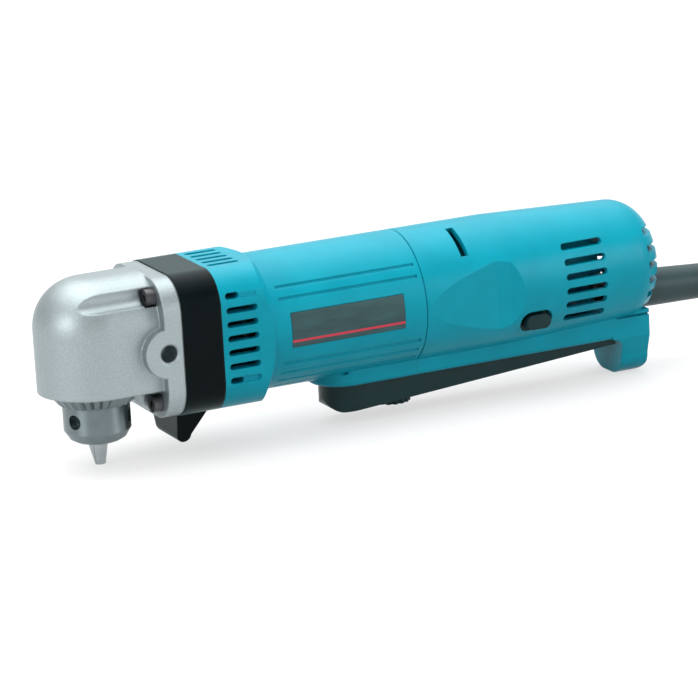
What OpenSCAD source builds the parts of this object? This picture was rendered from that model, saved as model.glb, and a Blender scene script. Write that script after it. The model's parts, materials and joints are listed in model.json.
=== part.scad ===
/* [Layout] */
// Height of the underside of the barrel above the surface the tool stands on
barrel_bottom_z = 19.5; // [19:0.5:22]
// Distance from the spindle axis to the front face of the flange
flange_x = 20.5; // [20.5:0.5:23]
// Thickness of the flange of the angle head
flange_t = 7.5; // [6:0.5:10]
// Length of the black collar along the motor axis
collar_len = 16.8; // [16.6:0.2:20]
// Length of the handle behind the motor housing
handle_len = 114; // [112:0.5:118]

/* [Angle head] */
// Radius of the head about the spindle axis
head_r = 23; // [22.8:0.1:24.5]
// Radius of the rounded crown of the head
head_round = 20; // [18:0.5:21]
// Depth of the bottom rim of the head below the motor axis
head_depth = 15.8; // [15:0.1:16.4]
// Height of the top of the head above the motor axis
head_rise = 29.5; // [29:0.5:32]
// Radius of the recess that takes the back of the chuck
recess_r = 19.3; // [19.3:0.1:19.6]
// Core radius of the thread for a side handle
side_thread_r = 3.4; // [2.5:0.1:4]
// Depth of the thread for a side handle
side_thread_depth = 13; // [8:0.5:13]
// Radius of the raised pad round that thread
side_pad_r = 10; // [8:0.5:11]

/* [Square section] */
// Half width of the rounded square section of flange, collar and front vents
section_hw = 28.3; // [28.2:0.1:30]
// Half height of that section
section_hh = 28.9; // [28.5:0.1:30]
// Corner radius of that section
section_r = 14; // [12:0.5:15]
// Wall thickness of the collar
collar_wall = 3; // [2:0.2:3.4]
// Depth of the finger guard below the collar
guard_drop = 13; // [8:0.5:14]

/* [Gears] */
// Module of the spur pair
spur_m = 1; // [0.95:0.01:1.02]
// Teeth of the motor pinion
spur_z1 = 6; // [6:1:7]
// Teeth of the reduction gear
spur_z2 = 17; // [16:1:17]
// Width of the reduction gear
spur_w = 8; // [5:0.5:8.5]
// Module of the bevel pair
bevel_m = 1.2; // [1.16:0.01:1.22]
// Teeth of the bevel pinion
bevel_z1 = 8; // [7:1:8]
// Teeth of the bevel gear
bevel_z2 = 24; // [23:1:24]

/* [Chuck] */
// Radius of the nose of the chuck
nose_r = 13.6; // [13.4:0.1:14]
// Length of the chuck from its back face to the front of its nose
chuck_len = 39; // [38.4:0.2:40.4]
// Outer radius of the toothed sleeve
sleeve_r = 18.6; // [18.4:0.1:18.8]
// Number of key teeth round the sleeve
key_teeth = 28; // [20:2:32]
// Radius of the pilot holes for the chuck key
key_hole_r = 3; // [2.5:0.1:3.2]
// Depth of the pilot holes
key_hole_depth = 4.5; // [3:0.5:5]
// Radius of one jaw
jaw_r = 2.6; // [2.4:0.05:2.7]
// Slant of the jaws from the spindle axis in degrees
jaw_tilt = 15; // [14:0.5:15.5]
// Way a jaw slides from closed to open
jaw_travel = 18; // [12:0.5:18]

/* [Motor] */
// Outer radius of the barrel
barrel_r = 28; // [27.5:0.1:28.2]
// Wall thickness of the barrel
barrel_wall = 3.5; // [2.5:0.1:3.8]
// Room for the field between the armature and the housing
field_t = 8.2; // [7.4:0.2:9]
// Length of the armature core
core_len = 40; // [34:1:42]
// Radius of the motor shaft
shaft_r = 4; // [3.8:0.1:4.2]
// Radius of the commutator
commutator_r = 10; // [8:0.5:11]
// Gap between the cooling fan and the housing
fan_gap = 1.4; // [0.8:0.1:4]
// Number of fan blades
fan_blades = 12; // [8:1:16]
// Outer radius of the rear motor bearing
rear_bearing_r = 11; // [9:0.5:11.5]
// Room between the commutator and the rear motor bearing
bearing_room = 3.5; // [2:0.5:8]

/* [Handle] */
// Wall thickness of the handle halves
handle_wall = 2.6; // [2:0.1:3]
// How much thinner the handle is where its crown starts to bend
handle_taper = 2.3; // [1.5:0.1:3]
// Radius of the rounded rear crown
crown_r = 15; // [12:0.5:19]
// Half width of the skirt round the switch lever
skirt_hw = 15; // [14.8:0.1:16]
// Height of the lower edge of the skirt
skirt_z = 17; // [16.5:0.1:17.4]
// Distance from the rear end to the back face of the foot
foot_inset = 5; // [1:0.5:6]
// Length of the foot along the motor axis
foot_len = 12.5; // [12:0.5:16]
// Half width of the foot
foot_hw = 12.5; // [12:0.1:13]
// Radius of the rounded lower edges of the foot
foot_round = 9; // [6:0.5:10]

/* [Controls] */
// Half width of the switch lever
lever_hw = 12; // [11:0.1:12]
// Height of the front end of the lever above the surface
lever_front_z = 5.5; // [5:0.1:6.5]
// Height of the rear end of the lever above the surface
lever_rear_z = 14.4; // [13.5:0.1:15]
// Radius of the pin that the lever turns on
lever_pin_r = 1.5; // [1.2:0.1:1.6]
// Radius of the speed dial
dial_r = 8; // [6:0.5:8.5]
// Radius of the rounded ends of the lock button
lock_r = 3; // [2.5:0.1:3.4]
// Length of the lock button
lock_len = 11; // [9:0.5:12]

/* [Vents] */
// Height of a vent slot in the handle
rear_slot_h = 2.8; // [2:0.1:3.4]
// Length of a vent slot in the handle
rear_slot_len = 19.5; // [12:0.5:20]
// Distance between vent slots in the handle
rear_slot_step = 5.95; // [5.5:0.05:6.2]
// Height of a vent slot in the motor housing
front_slot_h = 2.6; // [2:0.1:3.2]
// Length of a vent slot in the motor housing
front_slot_len = 13.5; // [8:0.5:13.5]
// Distance between vent slots in the motor housing
front_slot_step = 5.75; // [5:0.05:5.8]
// Distance between the fins at the rear end
fin_step = 6.5; // [6:0.1:7]
// Gap between two fins at the rear end
fin_gap = 3; // [1.5:0.1:3.2]

/* [Fasteners] */
// Distance of the head screws from the sides of the square section
screw_side = 10.3; // [9.8:0.1:10.8]
// Distance of the head screws from its top and bottom
screw_edge = 7.4; // [6.9:0.1:7.9]
// Radius of the head screws
screw_r = 2; // [1.5:0.1:2.2]
// Radius of the heads of the head screws
screw_head_r = 3.6; // [3:0.1:4]
// Radius of the handle screws
handle_screw_r = 1.7; // [1.3:0.1:2]
// Radius of the heads of the handle screws
handle_head_r = 3.2; // [2.6:0.1:3.4]

/* [Cord] */
// Diameter of the cord
cord_d = 6.4; // [6:0.1:6.8]
// Largest radius of the cord guard
guard_r = 8; // [7:0.1:8.4]
// Length of the cord guard behind the handle
guard_len = 52; // [46:1:56]
// Droop of the cord guard in degrees
guard_droop = 2.4; // [1:0.2:3]
// Length of the straight runs of the folded cord
hank_run = 98; // [90:1:110]
// Diameter of the plug pins
plug_pin_d = 4.8; // [4:0.1:5]
// Distance between the plug pins
plug_pin_pitch = 19; // [16:0.5:19]

/* [Name plate] */
// Length of the blank plate on the near side of the barrel
plate_len = 50; // [40:1:54]
// Height of that plate
plate_h = 14; // [10:0.5:16]

/* [Fits] */
// Gap between parts that are pressed together
seat_gap = 0.05; // [0.02:0.01:0.1]
// Gap round a turning shaft or sliding pin
run_gap = 0.06; // [0.03:0.01:0.09]
// Gap between parts that move past each other
free_gap = 0.4; // [0.3:0.05:0.5]

/* [Hidden] */
$fn = 64;
far = 200;
skin = 0.01;
teal = "#0f9fb4";
black = "#26292b";
cast = "#b9bcbf";
steel = "#9a9ea3";
dark_steel = "#4a4d50";
copper = "#b87333";
brass = "#c9a24a";
graphite = "#3a3a3c";
// Heights and radii that follow from the sizes above
motor_axis_z = barrel_bottom_z + barrel_r;
head_bottom_z = motor_axis_z - head_depth;
head_top_z = motor_axis_z + head_rise;
screw_y = section_hw - screw_side;
screw_z = section_hh - screw_edge;
bore_r = barrel_r - barrel_wall;
front_bore_r = section_hw - barrel_wall - free_gap;
fan_r = front_bore_r - fan_gap;
air_gap = 0.6;
field_r = bore_r - 0.2;
core_r = field_r - field_t - air_gap;
handle_end_r = barrel_r - handle_taper;
// Places along the motor axis, counted from the spindle axis
collar_x = flange_x + flange_t;
vent_x = collar_x + collar_len;
vent_len = 14;
neck_len = 23;
fan_x = vent_x + 5;
fan_t = 8;
core_x = fan_x + fan_t + 8;
commutator_x = core_x + core_len + 5;
commutator_len = 12;
rear_bearing_x = commutator_x + commutator_len + bearing_room;
rear_bearing_t = 7;
seam_x = rear_bearing_x + rear_bearing_t + 2;
housing_len = seam_x - vent_x;
rear_x = seam_x + handle_len;
origin_x = (rear_x - head_r) / 2;
foot_back_x = rear_x - foot_inset;
foot_front_x = foot_back_x - foot_len;
// Gear train
spur_r1 = spur_m * spur_z1 / 2;
spur_r2 = spur_m * spur_z2 / 2;
pinion_z = motor_axis_z + spur_r1 + spur_r2;
bevel_r1 = bevel_m * bevel_z1 / 2;
bevel_r2 = bevel_m * bevel_z2 / 2;
cone_len = sqrt(bevel_r1 * bevel_r1 + bevel_r2 * bevel_r2);
bevel_angle1 = atan(bevel_r1 / bevel_r2);
bevel_face = 5;
tip_angle = atan(0.85 * bevel_m / cone_len);
root_angle = atan(1.05 * bevel_m / cone_len);
spur_x = collar_x + 1;
// Bearings and seats of the spindle
box_z = motor_axis_z + 2.3;
box_t = 2.6;
box_r = recess_r - 1.2;
circlip_r = recess_r + 0.6;
lower_bearing_r = 8;
lower_bearing_t = 5;
lower_bearing_z = box_z + 0.4;
upper_bearing_r = 6.5;
upper_bearing_t = 4.5;
spindle_r = 4;
spindle_thread_r = 4.95;
spindle_top_r = 3;
bevel_rim_r = bevel_r2 + 0.8;
bevel_web_t = 1.4;
chamber_r = bevel_rim_r + 0.6;
bevel_back_z = pinion_z + bevel_r1 + 1.6;
bevel_hub_t = 3.4;
upper_bearing_z = bevel_back_z + bevel_hub_t + 0.4;
chamber_top_z = bevel_back_z + bevel_web_t + free_gap;
// Pinion shaft
pinion_shaft_r = 4;
pinion_bearing_r = 8;
pinion_bearing_t = 5;
nose_start_x = circlip_r + free_gap;
nose_seat_r = 11;
pinion_bearing_x = nose_start_x + 0.5;
bush_r = 4;
bush_shaft_r = 2.5;
case_back_x = vent_x - 0.2;
case_wall_x = spur_x + spur_w + 0.8;
front_bearing_r = 6.4;
front_bearing_t = 5;
front_shaft_r = 2.9;
// Motor
field_ring_t = 0.49 * field_t;
pole_w = 1.68 * core_r;
coil_over = 5;
brush_x = commutator_x + commutator_len / 2;
brush_w = 5;
brush_h = 7;
brush_wall = 1;
brush_outer = sqrt(bore_r * bore_r - pow(brush_h / 2 + brush_wall, 2)) - 0.1;
brush_inner = commutator_r + 0.3;
// Part of the room beside the commutator that a new brush takes; its spring has the rest
brush_share = 0.7;
brush_end = brush_inner + brush_share * (brush_outer - brush_inner);
plate_depth = 0.4;
// Handle: screw places along it and at heights that go with the barrel
handle_bend = 42;
slit_at = 21;
front_screw_in = [12, 10];
rear_screw_in = [27.4, 22];
handle_screw_places = [[seam_x + front_screw_in[0], motor_axis_z + 0.607 * barrel_r],
  [seam_x + front_screw_in[1], motor_axis_z - 0.679 * barrel_r],
  [rear_x - rear_screw_in[0], motor_axis_z - 0.661 * barrel_r],
  [rear_x - rear_screw_in[1], motor_axis_z + 0.464 * barrel_r]];
handle_boss_r = 4.2;
handle_seat_y = 8;
// Switch lever and what it works
lever_front_r = 12;
lever_nose_r = 5.5;
pivot_x = seam_x - 25;
pivot_z = skirt_z + 2.3;
lever_front_x = pivot_x - lever_front_r;
lever_nose_x = lever_front_x + lever_nose_r;
lever_end_x = foot_front_x - 2.5;
lever_wall = 2;
channel_hw = lever_hw + free_gap;
channel_top_z = barrel_bottom_z + handle_wall + 1.5;
lever_room_z = pivot_z + 2.8;
boss_front_x = pivot_x - 2;
dial_x = pivot_x + 19.5;
dial_z = 4.2;
dial_t = 5;
dial_stem_r = 2;
plunger_x = seam_x + 0.351 * handle_len;
plunger_r = 3;
plunger_z = 19.3;
switch_x = plunger_x - 17;
switch_len = 42;
switch_z = barrel_bottom_z + 6.5;
switch_h = 20;
switch_hw = 11;
lock_x = seam_x + 0.447 * handle_len;
lock_z = barrel_bottom_z + 14.5;
lock_drop = motor_axis_z - lock_z;
lock_wall_y = -sqrt(barrel_r * barrel_r - lock_drop * lock_drop);
lock_face_y = lock_wall_y - 2.4;
lock_rim_y = lock_wall_y + 3;
lock_back_y = -switch_hw - 4;
lock_margin = 1.9;
bezel_h = 2 * (lock_r + lock_margin - 0.5);
// Chuck
chuck_reach = 49.8;
jaw_cross_rise = 2.5;
jaw_rise = 31.8;
shoulder_rise = 29.6;
sleeve_rise = 47.4;
lip_rise = 26;
rim_rise = 30.4;
key_rise = 20.3;
thread_depth = 8;
tip_z = box_z - chuck_reach;
jaw_cross_z = tip_z + jaw_cross_rise;
jaw_start = 10;
jaw_top_z = tip_z + jaw_rise;
chuck_top_z = box_z - free_gap;
nose_z = chuck_top_z - chuck_len;
shoulder_z = tip_z + shoulder_rise;
thread_z = shoulder_z + thread_depth;
sleeve_wall = 2.8;
chuck_upper_r = sleeve_r - sleeve_wall;
nut_t = 2.8;
sleeve_top_z = tip_z + sleeve_rise;
key_z = tip_z + key_rise;
jaw_angles = [27, 147, 267];
// Cord
guard_z = barrel_bottom_z + 14;
guard_x = rear_x - 10;
guard_seat = 4;
guard_mid_r = 0.925 * guard_r;
guard_end_r = 5.2;
guard_reach = guard_len + 10;
guard_tip = [guard_x - origin_x + guard_reach * cos(guard_droop), 0,
  guard_z - guard_reach * sin(guard_droop)];
clamp_x = rear_x - 19.8;
cord_r = cord_d / 2;
cord_sides = 8;
coil_sides = 6;
coil_rings = 24;
cord_space = 0.55;
band_t = 1;
band_gap = 0.5;
cord_floor_z = cord_r + band_t + band_gap + 0.1;
layer_step = cord_d + cord_space;
hank_step = layer_step + 0.6;
hank_in_r = 3 * cord_d;
hank_waist = 9;
// Turns at which the hank changes from winding in to winding out, and where it ends
hank_turns = [1.625, 3.125, 4.625];
hank_end = 6.5;
hank_x = guard_tip[0] + 74;
hank_y = hank_in_r + hank_step * hank_turns[0] - 25;

// Everything is drawn about the spindle axis and then moved to the middle of the tool
module place() {
  translate([-origin_x, 0, 0]) children();
}

// A solid drawn in the cross plane and run along the motor axis from one place to another
module along_x(from, to) {
  translate([from, 0, 0])
    rotate([90, 0, 90])
      linear_extrude(height = to - from) children();
}

// A solid turned about a line along the motor axis at a height, drawn as [radius, place along]
module turned_x(height) {
  translate([0, 0, height])
    rotate([0, 90, 0])
      rotate_extrude() children();
}

// A round rod along the motor axis
module rod_x(from, to, r, height, y = 0) {
  translate([from, y, height])
    rotate([0, 90, 0])
      cylinder(r = r, h = to - from);
}

// A round rod across the tool
module rod_y(x, z, r, from, to) {
  translate([x, from, z])
    rotate([-90, 0, 0])
      cylinder(r = r, h = to - from);
}

// A tube standing on a height
module ring_z(r_out, r_in, from, to) {
  difference() {
    translate([0, 0, from]) cylinder(r = r_out, h = to - from);
    translate([0, 0, from - 1]) cylinder(r = r_in, h = to - from + 2);
  }
}

// A ball bearing on the motor side: a ring with a shallow shield groove in each face
module bearing_x(from, t, r_out, r_in, height) {
  mid = (r_out + r_in) / 2;
  half = (r_out - r_in) / 5;
  groove = 0.4;
  difference() {
    rod_x(from, from + t, r_out, height);
    rod_x(from - 1, from + t + 1, r_in, height);
    for (x = [from - 1, from + t - groove])
      difference() {
        rod_x(x, x + 1 + groove, mid + half, height);
        rod_x(x - 1, x + 2 + groove, mid - half, height);
      }
  }
}

// The same bearing standing upright on the spindle
module bearing_z(from, t, r_out, r_in) {
  mid = (r_out + r_in) / 2;
  half = (r_out - r_in) / 5;
  groove = 0.4;
  difference() {
    ring_z(r_out, r_in, from, from + t);
    ring_z(mid + half, mid - half, from - 1, from + groove);
    ring_z(mid + half, mid - half, from + t - groove, from + t + 1);
  }
}

// A rectangle with round corners about the middle
module round_rect(hw, hh, r) {
  square([2 * hw, 2 * (hh - r)], center = true);
  square([2 * (hw - r), 2 * hh], center = true);
  for (y = [-1, 1], z = [-1, 1])
    translate([y * (hw - r), z * (hh - r)]) circle(r = r);
}

// The rounded square section of the front of the tool, drawn smaller by an inset
module front_section(inset = 0) {
  translate([0, motor_axis_z])
    round_rect(section_hw - inset, section_hh - inset, section_r - inset);
}

// The four places of the head screws in the cross plane
module at_head_screws() {
  for (y = [-1, 1], z = [-1, 1])
    translate([0, y * screw_y, motor_axis_z + z * screw_z]) children();
}

// Outline of a straight-toothed wheel; thick gives half the tooth at root, pitch circle and tip
module wheel_outline(teeth, r_root, r_pitch, r_tip, thick) {
  step = 360 / teeth;
  polygon([for (i = [0 : teeth - 1]) for (q = [[r_root, -thick[0]], [r_pitch, -thick[1]], [r_tip, -thick[2]],
    [r_tip, thick[2]], [r_pitch, thick[1]], [r_root, thick[0]]])
      q[0] * [cos((i + q[1]) * step), sin((i + q[1]) * step)]]);
}

// Outline of the motor pinion
module spur_outline_1() {
  wheel_outline(spur_z1, spur_r1 - 1.1 * spur_m, spur_r1, spur_r1 + 0.8 * spur_m, [0.22, 0.19, 0.08]);
}

// Outline of the reduction gear
module spur_outline_2() {
  wheel_outline(spur_z2, spur_r2 - 1.1 * spur_m, spur_r2, spur_r2 + 0.8 * spur_m, [0.3, 0.21, 0.1]);
}

// The outer form of the angle head: a round turret with a deep crown, run back to the flange
module head_form() {
  crown = [head_r - head_round, head_top_z - head_round];
  module half_section() {
    translate([0, head_bottom_z]) square([head_r, crown[1] - head_bottom_z]);
    translate([0, head_bottom_z]) square([crown[0], head_top_z - head_bottom_z]);
    intersection() {
      translate(crown) circle(r = head_round);
      square([far, far]);
    }
  }
  rotate_extrude() half_section();
  along_x(0, flange_x + 1) {
    half_section();
    mirror([1, 0]) half_section();
  }
}

module gear_head() {
  gusset_hw = 12;
  gusset_x = 8;
  flange_inset = 0.4;
  channel_r = screw_head_r + 0.6;
  flute_r = 5;
  flute_out = [2.1, 2.4];
  pad_y = section_hw - flange_inset;
  thread_x = flange_x + 1.5;
  mouth = 0.8;
  color(cast) place() difference() {
    union() {
      head_form();
      along_x(flange_x, collar_x) front_section(flange_inset);
      intersection() {
        rod_y(thread_x, motor_axis_z, side_pad_r, -pad_y, pad_y);
        translate([0, -far, 0]) cube([collar_x, 2 * far, far]);
      }
      translate([0, gusset_hw, 0]) rotate([90, 0, 0])
        linear_extrude(height = 2 * gusset_hw)
          polygon([[gusset_x, head_bottom_z + 1], [flange_x + 1, head_bottom_z + 1],
            [flange_x + 1, motor_axis_z - section_hh + 2], [flange_x - 1, motor_axis_z - section_hh + 2]]);
    }
    translate([0, 0, -1]) cylinder(r = recess_r, h = box_z + 1);
    cylinder(r = box_r + seat_gap, h = box_z + box_t);
    cylinder(r = chamber_r, h = chamber_top_z);
    cylinder(r = spindle_r + 4.5, h = upper_bearing_z);
    cylinder(r = upper_bearing_r + seat_gap, h = upper_bearing_z + upper_bearing_t);
    ring_z(circlip_r + 0.1, 1, box_z - 1.4, box_z);
    rod_x(0, collar_x + 1, nose_seat_r + seat_gap, pinion_z);
    at_head_screws() rod_x(flange_x - 1, collar_x + 1, screw_r + run_gap, 0);
    at_head_screws() rod_x(flange_x - 5, flange_x, channel_r, 0);
    for (s = [-1, 1]) {
      rod_x(-head_r, flange_x, flute_r, motor_axis_z + screw_z + flute_out[1], s * (screw_y + flute_out[0]));
      rod_y(thread_x, motor_axis_z, side_thread_r, s > 0 ? pad_y - side_thread_depth : -pad_y - 1,
        s > 0 ? pad_y + 1 : -pad_y + side_thread_depth);
      translate([thread_x, s * (pad_y + skin), motor_axis_z]) rotate([s * 90, 0, 0])
        cylinder(r1 = side_thread_r + mouth, r2 = side_thread_r, h = mouth);
    }
  }
}

// Carrier of the lower spindle bearing
module bearing_box() {
  color(cast) place() difference() {
    union() {
      translate([0, 0, box_z]) cylinder(r = box_r, h = box_t);
      translate([0, 0, box_z]) cylinder(r = lower_bearing_r + 1.2, h = lower_bearing_t + 0.8);
    }
    translate([0, 0, lower_bearing_z]) cylinder(r = lower_bearing_r + seat_gap, h = far);
    translate([0, 0, box_z - 1]) cylinder(r = lower_bearing_r - 1, h = far);
  }
}

// Spring ring that holds the bearing carrier in the head
module bearing_circlip() {
  slot_w = 5;
  color(dark_steel) place() difference() {
    ring_z(circlip_r, recess_r - 2, box_z - 1.3, box_z - 0.1);
    translate([recess_r - 3, -slot_w / 2, box_z - 2]) cube([5, slot_w, 3]);
  }
}

module spindle() {
  hub_top_z = bevel_back_z + bevel_hub_t;
  color(steel) place() union() {
    translate([0, 0, thread_z]) cylinder(r = spindle_thread_r, h = lower_bearing_z - thread_z - 0.1);
    translate([0, 0, lower_bearing_z - 1]) cylinder(r = spindle_r, h = hub_top_z - lower_bearing_z + 1.1);
    translate([0, 0, hub_top_z])
      cylinder(r = spindle_top_r, h = upper_bearing_z + upper_bearing_t - hub_top_z - 0.4);
  }
}

module spindle_upper_bearing() {
  color(steel) place() bearing_z(upper_bearing_z, upper_bearing_t, upper_bearing_r, spindle_top_r + run_gap);
}

module spindle_lower_bearing() {
  color(steel) place() bearing_z(lower_bearing_z, lower_bearing_t, lower_bearing_r, spindle_r + run_gap);
}

// Crown wheel of the bevel pair, with its teeth down towards the pinion
module bevel_gear() {
  reach = bevel_back_z - pinion_z;
  tip_z = 0.69 * bevel_r1;
  grow = reach / bevel_r1;
  angle2 = 90 - bevel_angle1;
  hollow = bevel_r2 - 4.4;
  tooth_phase = 180 / bevel_z2;
  color(dark_steel) place() translate([0, 0, pinion_z]) difference() {
    union() {
      intersection() {
        translate([0, 0, reach]) mirror([0, 0, 1]) rotate(tooth_phase)
          linear_extrude(height = reach - tip_z, scale = tip_z / reach)
            wheel_outline(bevel_z2, grow * bevel_r1 * tan(angle2 - root_angle), grow * bevel_r2,
              grow * bevel_r1 * tan(angle2 + tip_angle), [0.3, 0.21, 0.1]);
        cylinder(r = bevel_rim_r, h = far);
      }
      translate([0, 0, reach - skin]) cylinder(r = bevel_rim_r, h = bevel_web_t);
      translate([0, 0, reach - skin]) cylinder(r = spindle_r + 3.5, h = bevel_hub_t);
    }
    cylinder(r = hollow, h = 0.95 * bevel_r1);
    cylinder(r = spindle_r + seat_gap, h = far);
  }
}

// Bevel pinion with its shaft
module bevel_pinion() {
  front_x = bevel_r2 - bevel_face * cos(bevel_angle1);
  hub_r = pinion_shaft_r + 0.6;
  hub_x = bevel_r2 + 1.5;
  neck_r = 0.7 * bevel_r1;
  color(dark_steel) place() union() {
    translate([bevel_r2, 0, pinion_z]) rotate([0, -90, 0])
      linear_extrude(height = bevel_r2 - front_x, scale = front_x / bevel_r2)
        wheel_outline(bevel_z1, bevel_r2 * tan(bevel_angle1 - root_angle), bevel_r1,
          bevel_r2 * tan(bevel_angle1 + tip_angle), [0.26, 0.19, 0.08]);
    rod_x(bevel_r2 - skin, hub_x + skin, neck_r, pinion_z);
    rod_x(hub_x, pinion_bearing_x - 0.1, hub_r, pinion_z);
    rod_x(pinion_bearing_x - 0.2, spur_x + spur_w, pinion_shaft_r, pinion_z);
    rod_x(spur_x + spur_w - skin, case_wall_x + 4, bush_shaft_r, pinion_z);
  }
}

module pinion_bearing() {
  color(steel) place()
    bearing_x(pinion_bearing_x, pinion_bearing_t, pinion_bearing_r, pinion_shaft_r + run_gap, pinion_z);
}

// Plain bush at the back end of the pinion shaft
module pinion_bush() {
  color(brass) place() difference() {
    rod_x(case_wall_x + 0.1, case_wall_x + 4.4, bush_r, pinion_z);
    rod_x(case_wall_x - 1, case_wall_x + 6, bush_shaft_r + run_gap, pinion_z);
  }
}

module reduction_gear() {
  color(dark_steel) place() difference() {
    translate([spur_x, 0, pinion_z]) rotate([0, 90, 0]) rotate(180 / spur_z2)
      linear_extrude(height = spur_w) spur_outline_2();
    rod_x(spur_x - 1, spur_x + spur_w + 1, pinion_shaft_r + seat_gap, pinion_z);
    for (x = [spur_x - 1, spur_x + spur_w - 1.2])
      difference() {
        rod_x(x, x + 2.2, spur_r2 - 1.8 * spur_m, pinion_z);
        rod_x(x - 1, x + 4, pinion_shaft_r + 1.6, pinion_z);
      }
  }
}

// Metal gear case inside the collar, with a nose that carries the pinion bearing in the head
module gear_case() {
  inset = collar_wall + seat_gap;
  pocket_r = spur_r2 + 1.6 * spur_m;
  color(cast) place() difference() {
    union() {
      along_x(collar_x + skin, case_back_x) front_section(inset);
      rod_x(nose_start_x, collar_x + 1, nose_seat_r, pinion_z);
    }
    rod_x(nose_start_x - 1, case_wall_x, pinion_shaft_r + 1.2, pinion_z);
    rod_x(pinion_bearing_x - 1, pinion_bearing_x + pinion_bearing_t, pinion_bearing_r + seat_gap, pinion_z);
    rod_x(spur_x - 0.7, case_wall_x, pocket_r, pinion_z);
    rod_x(collar_x - 1, case_wall_x, spur_r1 + 2, motor_axis_z);
    rod_x(case_wall_x - 1, case_wall_x + 4.6, bush_r + seat_gap, pinion_z);
    rod_x(case_back_x - front_bearing_t, case_back_x + 1, front_bearing_r + seat_gap, motor_axis_z);
    rod_x(collar_x, case_back_x + 1, front_shaft_r + 1, motor_axis_z);
    at_head_screws() rod_x(collar_x - 1, case_back_x + 1, screw_r + run_gap, 0);
  }
}

// Four long screws with socket heads that hold head, collar and motor housing together
module head_screws() {
  head_t = 4;
  socket_r = 1.7;
  color(black) place() at_head_screws() difference() {
    union() {
      rod_x(flange_x - head_t, flange_x, screw_head_r, 0);
      rod_x(flange_x - skin, vent_x + 12, screw_r, 0);
    }
    translate([flange_x - head_t - 1, 0, 0]) rotate([0, 90, 0]) cylinder(r = socket_r, h = 3, $fn = 6);
  }
}

// Black insulating collar with a finger guard below it
module collar() {
  guard_top_z = motor_axis_z - section_hh + 4;
  guard_bottom_z = motor_axis_z - section_hh - guard_drop;
  tip_r = 3;
  guard_top_hw = 15.5;
  guard_tip_hw = 10.5;
  color(black) place() difference() {
    union() {
      along_x(collar_x + skin, vent_x - skin) front_section();
      intersection() {
        translate([0, far / 2, 0]) rotate([90, 0, 0]) linear_extrude(height = far) {
          polygon([[collar_x + 0.5, guard_top_z], [collar_x + 1.4, guard_bottom_z + tip_r],
            [collar_x + 1.4 + 2 * tip_r, guard_bottom_z + tip_r],
            [vent_x - 2, motor_axis_z - section_hh + 1], [vent_x - 2, guard_top_z]]);
          translate([collar_x + 1.4 + tip_r, guard_bottom_z + tip_r]) circle(r = tip_r);
        }
        along_x(0, far) polygon([[-guard_top_hw, guard_top_z], [guard_top_hw, guard_top_z],
          [guard_tip_hw, guard_bottom_z], [-guard_tip_hw, guard_bottom_z]]);
      }
    }
    along_x(collar_x - 1, vent_x + 1) front_section(collar_wall);
  }
}

// Turned solid of the housing wall between two radii
module tube_x(from, to, r_out, r_in) {
  difference() {
    rod_x(from, to, r_out, motor_axis_z);
    rod_x(from - 1, to + 1, r_in, motor_axis_z);
  }
}

// Skirt below the barrel that walls in the lever, with a round or a straight front end
module skirt_form(front, to, rounded) {
  edge = 2;
  top = motor_axis_z - barrel_r / 2 - skirt_z;
  start = rounded ? front + skirt_hw : front;
  module half() {
    square([skirt_hw - edge, top]);
    translate([0, edge]) square([skirt_hw, top - edge]);
    translate([skirt_hw - edge, edge]) circle(r = edge);
  }
  translate([0, 0, skirt_z]) {
    if (rounded) translate([start, 0, 0]) rotate_extrude() half();
    along_x(start, to) {
      half();
      mirror([1, 0]) half();
    }
  }
}

// Space that the lever works in, with a round front end
module lever_channel(to) {
  front_r = lever_front_r + free_gap;
  translate([0, 0, -1]) {
    translate([pivot_x, 0, 0]) cylinder(r = front_r, h = lever_room_z + 1);
    translate([pivot_x, -channel_hw, 0]) cube([to - pivot_x, 2 * channel_hw, lever_room_z + 1]);
  }
}

// One blind or open slot with round ends, cut across the tool
module slot_y(x, z, len, h, from, to) {
  rod_y(x + h / 2, z, h / 2, from, to);
  rod_y(x + len - h / 2, z, h / 2, from, to);
  translate([x + h / 2, from, z - h / 2]) cube([len - h, to - from, h]);
}

// Front vents: a column on each side and a row on top
module front_vents() {
  start = vent_x + 2.2;
  side_rows = 3;
  open_len = 6;
  recess = 1;
  for (s = [0, 1], i = [-side_rows : side_rows])
    translate([0, 0, motor_axis_z + 2 + i * front_slot_step]) mirror([0, s, 0]) {
      blind = abs(i) == side_rows;
      slot_y(start, 0, blind ? open_len : front_slot_len, front_slot_h, -section_hw - 1, -front_bore_r / 2);
      slot_y(start, 0, front_slot_len, front_slot_h, -section_hw - 1, -section_hw + recess);
    }
  for (i = [-2 : 2])
    translate([0, i * front_slot_step, motor_axis_z]) rotate([-90, 0, 0])
      slot_y(start, 0, front_slot_len, front_slot_h, -section_hh - 1, -front_bore_r / 2);
}

// Long shallow grip lines along both sides of the barrel
module grip_lines() {
  groove = 0.7;
  lines = [0.643, 0.489, -0.457, -0.614, -0.757, -0.871];
  for (s = [-1, 1], h = barrel_r * lines) {
    y = sqrt(barrel_r * barrel_r - h * h);
    translate([0, s * y, motor_axis_z + h]) rotate([0, 90, 0])
      translate([0, 0, vent_x + neck_len + 3.6]) cylinder(r = groove, h = housing_len - neck_len - 6);
  }
}

// Blank plate let into the near side of the barrel, or the hollow for it when drawn larger
module plate_form(grow, r_in, r_out) {
  start = vent_x + 0.334 * housing_len;
  rise = 1;
  intersection() {
    tube_x(start - grow, start + plate_len + grow, r_out, r_in);
    translate([0, -far, motor_axis_z + rise - plate_h / 2 - grow]) cube([far, far, plate_h + 2 * grow]);
  }
}

module name_plate() {
  color(dark_steel) place() plate_form(0, barrel_r - plate_depth, barrel_r + 0.1);
}

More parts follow.
